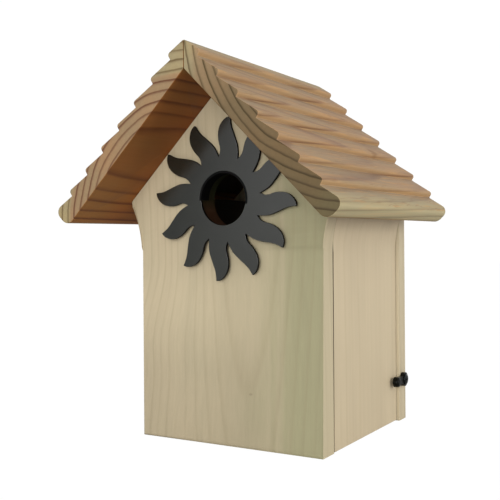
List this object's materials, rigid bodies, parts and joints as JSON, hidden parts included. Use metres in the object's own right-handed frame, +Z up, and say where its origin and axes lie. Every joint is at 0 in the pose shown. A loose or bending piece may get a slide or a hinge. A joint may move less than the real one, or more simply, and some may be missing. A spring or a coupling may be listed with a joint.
{
  "type": "birdhouse",
  "caption": "Pitched-roof wooden nest box with a saw-tooth roof, a round entrance in a sun-shaped metal plate, and a side door held by a turn-button.",
  "frame": {"origin": "bottom centre of the box around the whole part; the boards stand on z = 0", "axes": "+Z up, -Y out of the front with the entrance, +X towards the side door, +Y out of the back that goes against a wall"},
  "size_m": [0.1928, 0.176, 0.241],
  "materials": {
    "pale_pine": "planed, unfinished pine with a faint green tint",
    "warm_pine": "planed, unfinished pine, a little warmer",
    "roof_pine": "planed pine with strong reddish grain",
    "dowel_beech": "turned beech",
    "dark_metal": "satin slate-grey powder coat",
    "black_metal": "satin black powder coat",
    "black_plastic": "moulded, satin gloss",
    "black_steel": "blackened, satin gloss",
    "bright_steel": "drawn wire",
    "zinc_steel": "zinc plated"
  },
  "bodies": {
    "house": {"front_board": "pale_pine", "back_board": "pale_pine", "left_wall": "pale_pine", "floor_board": "pale_pine", "roof_board_left": "roof_pine", "roof_board_right": "roof_pine", "sun_plate": "dark_metal", "entrance_sleeve": "black_metal", "roof_dowel_front_left_1": "dowel_beech", "roof_dowel_front_left_2": "dowel_beech", "roof_dowel_front_right_1": "dowel_beech", "roof_dowel_front_right_2": "dowel_beech", "roof_dowel_back_left_1": "dowel_beech", "roof_dowel_back_left_2": "dowel_beech", "roof_dowel_back_right_1": "dowel_beech", "roof_dowel_back_right_2": "dowel_beech", "wall_dowel_1": "dowel_beech", "wall_dowel_2": "dowel_beech", "floor_dowel_1": "dowel_beech", "floor_dowel_2": "dowel_beech", "door_pin_front": "bright_steel", "door_pin_back": "bright_steel", "wall_screw_1": "zinc_steel", "wall_screw_2": "zinc_steel", "floor_screw_1": "zinc_steel", "floor_screw_2": "zinc_steel", "hanger_plate": "zinc_steel", "hanger_screw_1": "zinc_steel", "hanger_screw_2": "zinc_steel", "button_screw": "black_steel"},
    "side_door": {"side_door": "warm_pine"},
    "turn_button": {"turn_button": "black_plastic"}
  },
  "joints": [
    {"name": "door_hinge", "type": "hinge", "parent": "house", "child": "side_door", "pos_m": [0.057, 0.022, 0.13462], "axis": [0, -1, 0], "range_deg": [0, 70]},
    {"name": "button_pivot", "type": "hinge", "parent": "house", "child": "turn_button", "pos_m": [0.0673, 0.0792, 0.0285], "axis": [1, 0, 0], "range_deg": [-90, 90]}
  ]
}
